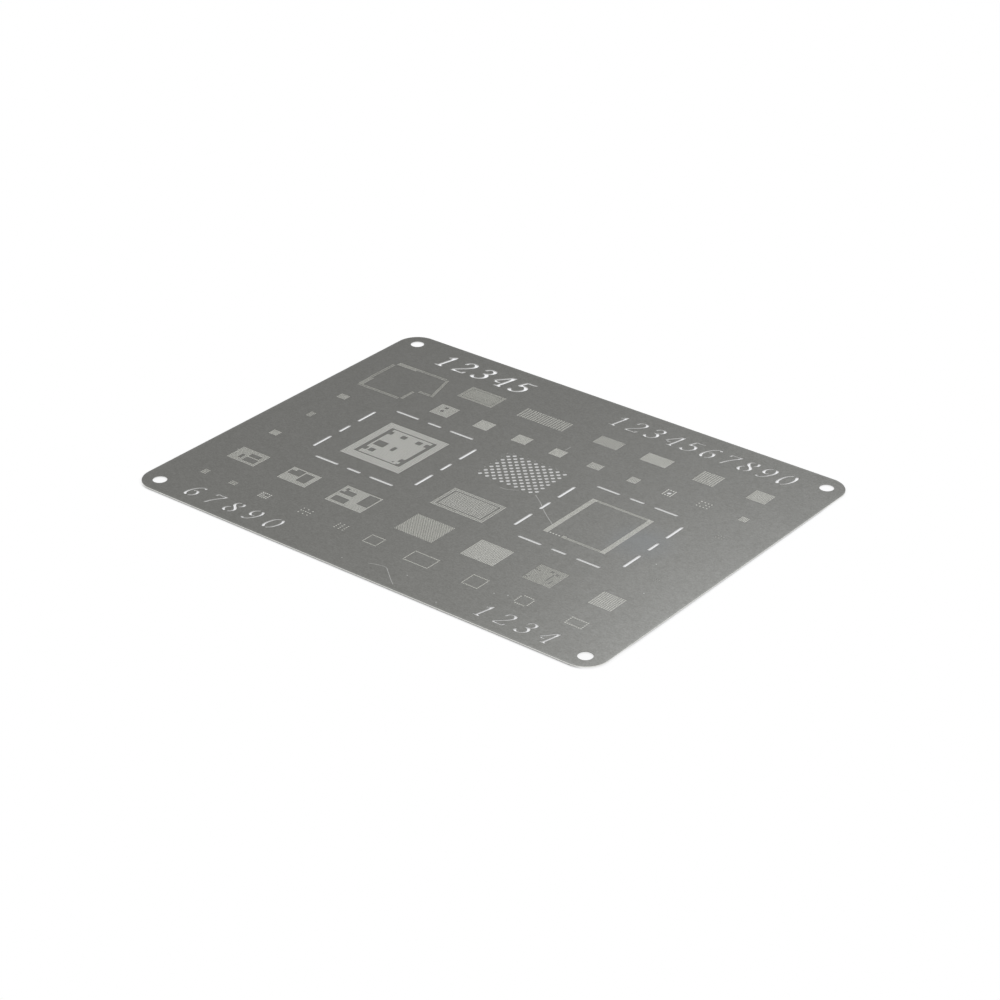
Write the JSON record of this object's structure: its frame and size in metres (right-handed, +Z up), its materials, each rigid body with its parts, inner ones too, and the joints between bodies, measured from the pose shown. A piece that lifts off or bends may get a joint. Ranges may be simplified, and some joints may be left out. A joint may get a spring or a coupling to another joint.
{
  "type": "bga reballing stencil",
  "caption": "Thin flat steel stencil sheet with rounded corners, corner locating holes, fields of solder ball apertures and relief slots.",
  "frame": {"origin": "centre of the sheet's outline, on its underside", "axes": "+X along the long side towards the right-hand end, +Y across the sheet towards the back edge, +Z up out of the face that is worked on"},
  "size_m": [0.0884, 0.068, 0.0001],
  "materials": {
    "sheet_steel": "matt rolled grain, with bright cut edges in the apertures"
  },
  "bodies": {
    "root": {"stencil_sheet": "sheet_steel"}
  },
  "joints": []
}
